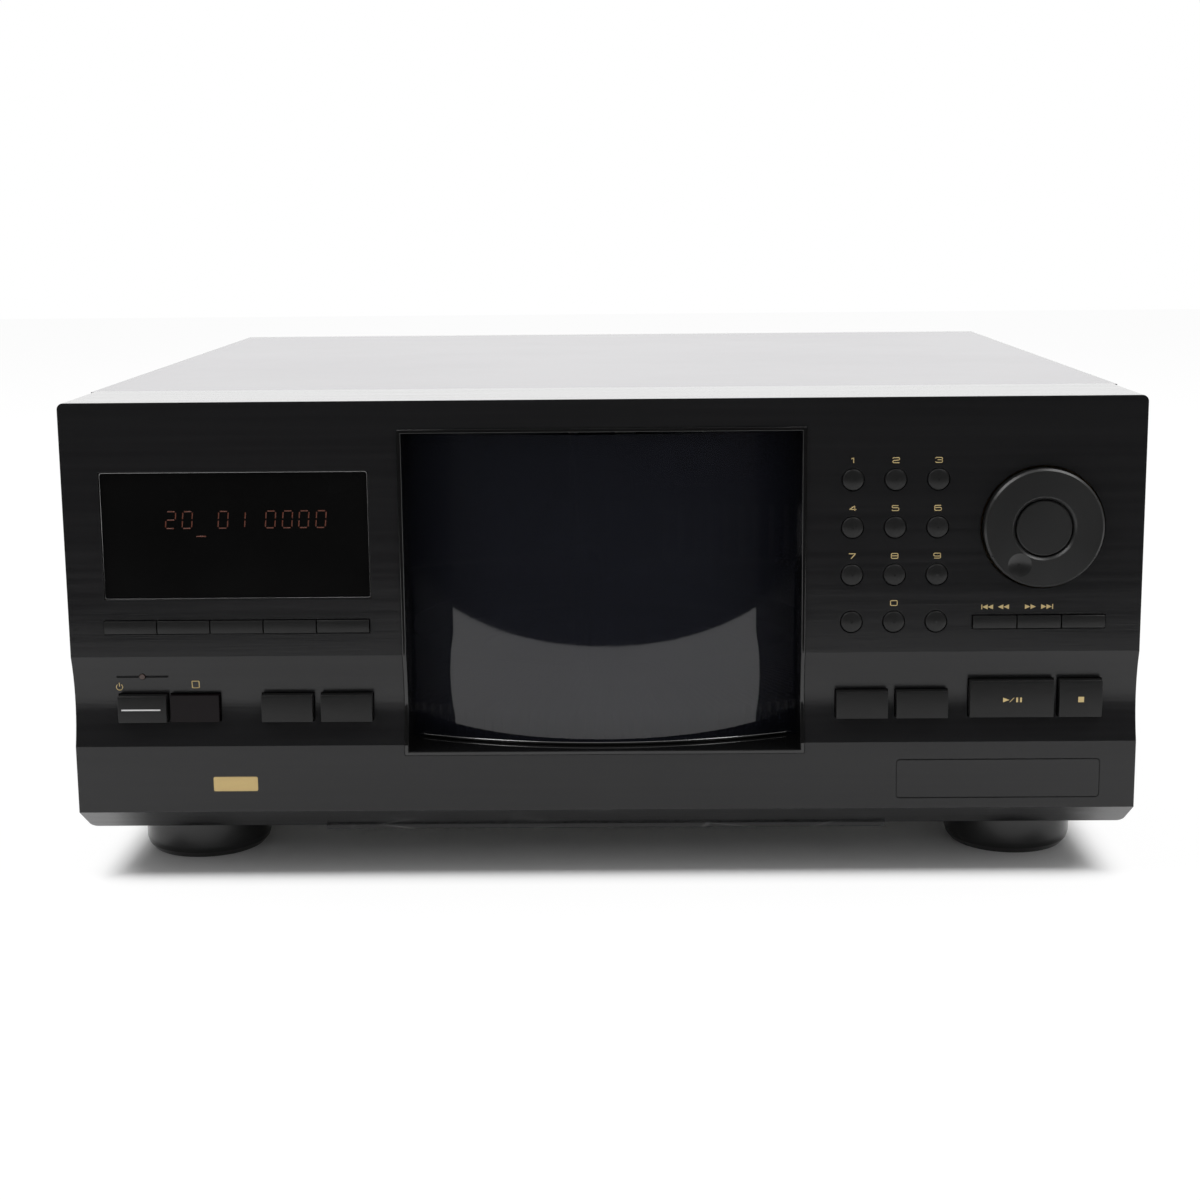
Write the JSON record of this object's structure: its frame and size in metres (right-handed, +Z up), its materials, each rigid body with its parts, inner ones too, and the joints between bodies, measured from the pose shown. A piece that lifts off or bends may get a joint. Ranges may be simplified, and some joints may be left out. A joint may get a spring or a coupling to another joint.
{
  "type": "disc changer",
  "caption": "Black home disc changer that files discs on edge in a round carousel behind a curved sliding door, with a display, round and bar keys and a turning dial.",
  "frame": {"origin": "centre of the footprint, on the table", "axes": "+Z up, front towards -Y, +X to the right of someone who faces the front"},
  "size_m": [0.423, 0.402, 0.193],
  "materials": {
    "cabinet_moulding": "dark, satin gloss with a fine grain drawn across",
    "gloss_trim": "black, high gloss",
    "smoked_window": "smoked, high gloss",
    "dark_red_window": "dark red, high gloss",
    "lamp_lens": "tinted, gloss",
    "display_glass": "dark, gloss",
    "circuit_board": "brown laminate",
    "bonnet_paint": "charcoal, satin and lightly scuffed",
    "black_screw": "blackened",
    "plated_sheet": "zinc plated",
    "rear_paint": "black, satin",
    "foot_plastic": "black, satin",
    "socket_plastic": "black",
    "gland_rubber": "black",
    "laminations": "varnished",
    "base_plastic": "charcoal",
    "motor_can": "satin",
    "polished_rod": "polished",
    "smoked_door": "smoked, high gloss",
    "gear_plastic": "natural",
    "carousel_plastic": "charcoal",
    "mech_plastic": "black",
    "lever_steel": "plated",
    "dial_plastic": "dark, satin gloss",
    "key_plastic": "dark, satin gloss"
  },
  "bodies": {
    "cabinet": {"front_panel": "cabinet_moulding", "door_collar": "gloss_trim", "display_window": "smoked_window", "sensor_window": "dark_red_window", "standby_lamp": "lamp_lens", "display_tube": "display_glass", "display_board": "circuit_board", "key_board": "circuit_board", "bonnet": "bonnet_paint", "screws": "black_screw", "chassis": "plated_sheet", "rear_panel": "rear_paint", "feet": "foot_plastic", "line_out_jacks": "socket_plastic", "digital_out": "socket_plastic", "control_jacks": "socket_plastic", "cord_gland": "gland_rubber", "transformer": "laminations", "main_board": "circuit_board", "base_moulding": "base_plastic", "drive_motors": "motor_can", "mech_frame": "plated_sheet", "guide_rods": "polished_rod"},
    "hood": {"hood_door": "smoked_door"},
    "hood_gear": {"hood_pinion": "gear_plastic"},
    "disc_rack": {"carousel": "carousel_plastic"},
    "rack_gear": {"carousel_pinion": "gear_plastic"},
    "platter": {"turntable": "mech_plastic"},
    "clamp": {"clamp_arm": "mech_plastic"},
    "sled": {"pickup": "mech_plastic"},
    "kicker": {"transfer_arm": "lever_steel"},
    "dial": {"jog_dial": "dial_plastic"},
    "enter": {"enter_button": "dial_plastic"},
    "key_1_cap": {"key_1": "key_plastic"},
    "key_2_cap": {"key_2": "key_plastic"},
    "key_3_cap": {"key_3": "key_plastic"},
    "key_4_cap": {"key_4": "key_plastic"},
    "key_5_cap": {"key_5": "key_plastic"},
    "key_6_cap": {"key_6": "key_plastic"},
    "key_7_cap": {"key_7": "key_plastic"},
    "key_8_cap": {"key_8": "key_plastic"},
    "key_9_cap": {"key_9": "key_plastic"},
    "key_disc_cap": {"key_disc": "key_plastic"},
    "key_0_cap": {"key_0": "key_plastic"},
    "key_track_cap": {"key_track": "key_plastic"},
    "key_mode_cap": {"key_mode": "key_plastic"},
    "key_clear_cap": {"key_clear": "key_plastic"},
    "key_program_cap": {"key_program": "key_plastic"},
    "key_repeat_cap": {"key_repeat": "key_plastic"},
    "key_display_cap": {"key_display": "key_plastic"},
    "key_skip_back_cap": {"key_skip_back": "key_plastic"},
    "key_skip_forward_cap": {"key_skip_forward": "key_plastic"},
    "key_random_cap": {"key_random": "key_plastic"},
    "key_power_cap": {"key_power": "key_plastic"},
    "key_access_cap": {"key_access": "key_plastic"},
    "key_single_play_cap": {"key_single_play": "key_plastic"},
    "key_open_cap": {"key_open": "key_plastic"},
    "key_unload_cap": {"key_unload": "key_plastic"},
    "key_play_pause_cap": {"key_play_pause": "key_plastic"},
    "key_stop_cap": {"key_stop": "key_plastic"}
  },
  "joints": [
    {"name": "hood_turn", "type": "hinge", "parent": "cabinet", "child": "hood", "pos_m": [0, -0.001, 0.11], "axis": [0, 0, 1], "range_deg": [0, 54]},
    {"name": "hood_gear_turn", "type": "hinge", "parent": "cabinet", "child": "hood_gear", "pos_m": [0.07445, -0.14713, 0.046], "axis": [0, 0, 1], "range_deg": [0, 687]},
    {"name": "rack_turn", "type": "hinge", "parent": "cabinet", "child": "disc_rack", "pos_m": [0, -0.001, 0.05], "axis": [0, 0, 1], "continuous": true},
    {"name": "rack_gear_turn", "type": "hinge", "parent": "cabinet", "child": "rack_gear", "pos_m": [-0.10889, -0.10989, 0.045], "axis": [0, 0, 1], "continuous": true},
    {"name": "platter_spin", "type": "hinge", "parent": "cabinet", "child": "platter", "pos_m": [-0.005, -0.001, 0.112], "axis": [1, 0, 0], "continuous": true},
    {"name": "clamp_swing", "type": "hinge", "parent": "cabinet", "child": "clamp", "pos_m": [0.009, -0.001, 0.16], "axis": [0, 1, 0], "range_deg": [-12, 0]},
    {"name": "sled_travel", "type": "slide", "parent": "cabinet", "child": "sled", "axis": [0, 0, -1], "range_m": [0, 0.034]},
    {"name": "kicker_swing", "type": "hinge", "parent": "cabinet", "child": "kicker", "pos_m": [0, 0.029, 0.04], "axis": [1, 0, 0], "range_deg": [0, 80]},
    {"name": "dial_turn", "type": "hinge", "parent": "cabinet", "child": "dial", "pos_m": [0.1708, -0.199, 0.142], "axis": [0, -1, 0], "continuous": true},
    {"name": "enter_press", "type": "slide", "parent": "cabinet", "child": "enter", "axis": [0, 1, 0], "range_m": [0, 0.0008], "stiffness_N_per_m": 300},
    {"name": "key_1_press", "type": "slide", "parent": "cabinet", "child": "key_1_cap", "axis": [0, 1, 0], "range_m": [0, 0.0008], "stiffness_N_per_m": 300},
    {"name": "key_2_press", "type": "slide", "parent": "cabinet", "child": "key_2_cap", "axis": [0, 1, 0], "range_m": [0, 0.0008], "stiffness_N_per_m": 300},
    {"name": "key_3_press", "type": "slide", "parent": "cabinet", "child": "key_3_cap", "axis": [0, 1, 0], "range_m": [0, 0.0008], "stiffness_N_per_m": 300},
    {"name": "key_4_press", "type": "slide", "parent": "cabinet", "child": "key_4_cap", "axis": [0, 1, 0], "range_m": [0, 0.0008], "stiffness_N_per_m": 300},
    {"name": "key_5_press", "type": "slide", "parent": "cabinet", "child": "key_5_cap", "axis": [0, 1, 0], "range_m": [0, 0.0008], "stiffness_N_per_m": 300},
    {"name": "key_6_press", "type": "slide", "parent": "cabinet", "child": "key_6_cap", "axis": [0, 1, 0], "range_m": [0, 0.0008], "stiffness_N_per_m": 300},
    {"name": "key_7_press", "type": "slide", "parent": "cabinet", "child": "key_7_cap", "axis": [0, 1, 0], "range_m": [0, 0.0008], "stiffness_N_per_m": 300},
    {"name": "key_8_press", "type": "slide", "parent": "cabinet", "child": "key_8_cap", "axis": [0, 1, 0], "range_m": [0, 0.0008], "stiffness_N_per_m": 300},
    {"name": "key_9_press", "type": "slide", "parent": "cabinet", "child": "key_9_cap", "axis": [0, 1, 0], "range_m": [0, 0.0008], "stiffness_N_per_m": 300},
    {"name": "key_disc_press", "type": "slide", "parent": "cabinet", "child": "key_disc_cap", "axis": [0, 1, 0], "range_m": [0, 0.0008], "stiffness_N_per_m": 300},
    {"name": "key_0_press", "type": "slide", "parent": "cabinet", "child": "key_0_cap", "axis": [0, 1, 0], "range_m": [0, 0.0008], "stiffness_N_per_m": 300},
    {"name": "key_track_press", "type": "slide", "parent": "cabinet", "child": "key_track_cap", "axis": [0, 1, 0], "range_m": [0, 0.0008], "stiffness_N_per_m": 300},
    {"name": "key_mode_press", "type": "slide", "parent": "cabinet", "child": "key_mode_cap", "axis": [0, 1, 0], "range_m": [0, 0.0008], "stiffness_N_per_m": 300},
    {"name": "key_clear_press", "type": "slide", "parent": "cabinet", "child": "key_clear_cap", "axis": [0, 1, 0], "range_m": [0, 0.0008], "stiffness_N_per_m": 300},
    {"name": "key_program_press", "type": "slide", "parent": "cabinet", "child": "key_program_cap", "axis": [0, 1, 0], "range_m": [0, 0.0008], "stiffness_N_per_m": 300},
    {"name": "key_repeat_press", "type": "slide", "parent": "cabinet", "child": "key_repeat_cap", "axis": [0, 1, 0], "range_m": [0, 0.0008], "stiffness_N_per_m": 300},
    {"name": "key_display_press", "type": "slide", "parent": "cabinet", "child": "key_display_cap", "axis": [0, 1, 0], "range_m": [0, 0.0008], "stiffness_N_per_m": 300},
    {"name": "key_skip_back_press", "type": "slide", "parent": "cabinet", "child": "key_skip_back_cap", "axis": [0, 1, 0], "range_m": [0, 0.0008], "stiffness_N_per_m": 300},
    {"name": "key_skip_forward_press", "type": "slide", "parent": "cabinet", "child": "key_skip_forward_cap", "axis": [0, 1, 0], "range_m": [0, 0.0008], "stiffness_N_per_m": 300},
    {"name": "key_random_press", "type": "slide", "parent": "cabinet", "child": "key_random_cap", "axis": [0, 1, 0], "range_m": [0, 0.0008], "stiffness_N_per_m": 300},
    {"name": "key_power_press", "type": "slide", "parent": "cabinet", "child": "key_power_cap", "axis": [0, 1, 0], "range_m": [0, 0.0008], "stiffness_N_per_m": 300},
    {"name": "key_access_press", "type": "slide", "parent": "cabinet", "child": "key_access_cap", "axis": [0, 1, 0], "range_m": [0, 0.0008], "stiffness_N_per_m": 300},
    {"name": "key_single_play_press", "type": "slide", "parent": "cabinet", "child": "key_single_play_cap", "axis": [0, 1, 0], "range_m": [0, 0.0008], "stiffness_N_per_m": 300},
    {"name": "key_open_press", "type": "slide", "parent": "cabinet", "child": "key_open_cap", "axis": [0, 1, 0], "range_m": [0, 0.0008], "stiffness_N_per_m": 300},
    {"name": "key_unload_press", "type": "slide", "parent": "cabinet", "child": "key_unload_cap", "axis": [0, 1, 0], "range_m": [0, 0.0008], "stiffness_N_per_m": 300},
    {"name": "key_play_pause_press", "type": "slide", "parent": "cabinet", "child": "key_play_pause_cap", "axis": [0, 1, 0], "range_m": [0, 0.0008], "stiffness_N_per_m": 300},
    {"name": "key_stop_press", "type": "slide", "parent": "cabinet", "child": "key_stop_cap", "axis": [0, 1, 0], "range_m": [0, 0.0008], "stiffness_N_per_m": 300}
  ],
  "couplings": [
    {"joint": "hood_gear_turn", "follows": "hood_turn", "ratio": 12.714},
    {"joint": "rack_gear_turn", "follows": "rack_turn", "ratio": -10}
  ]
}
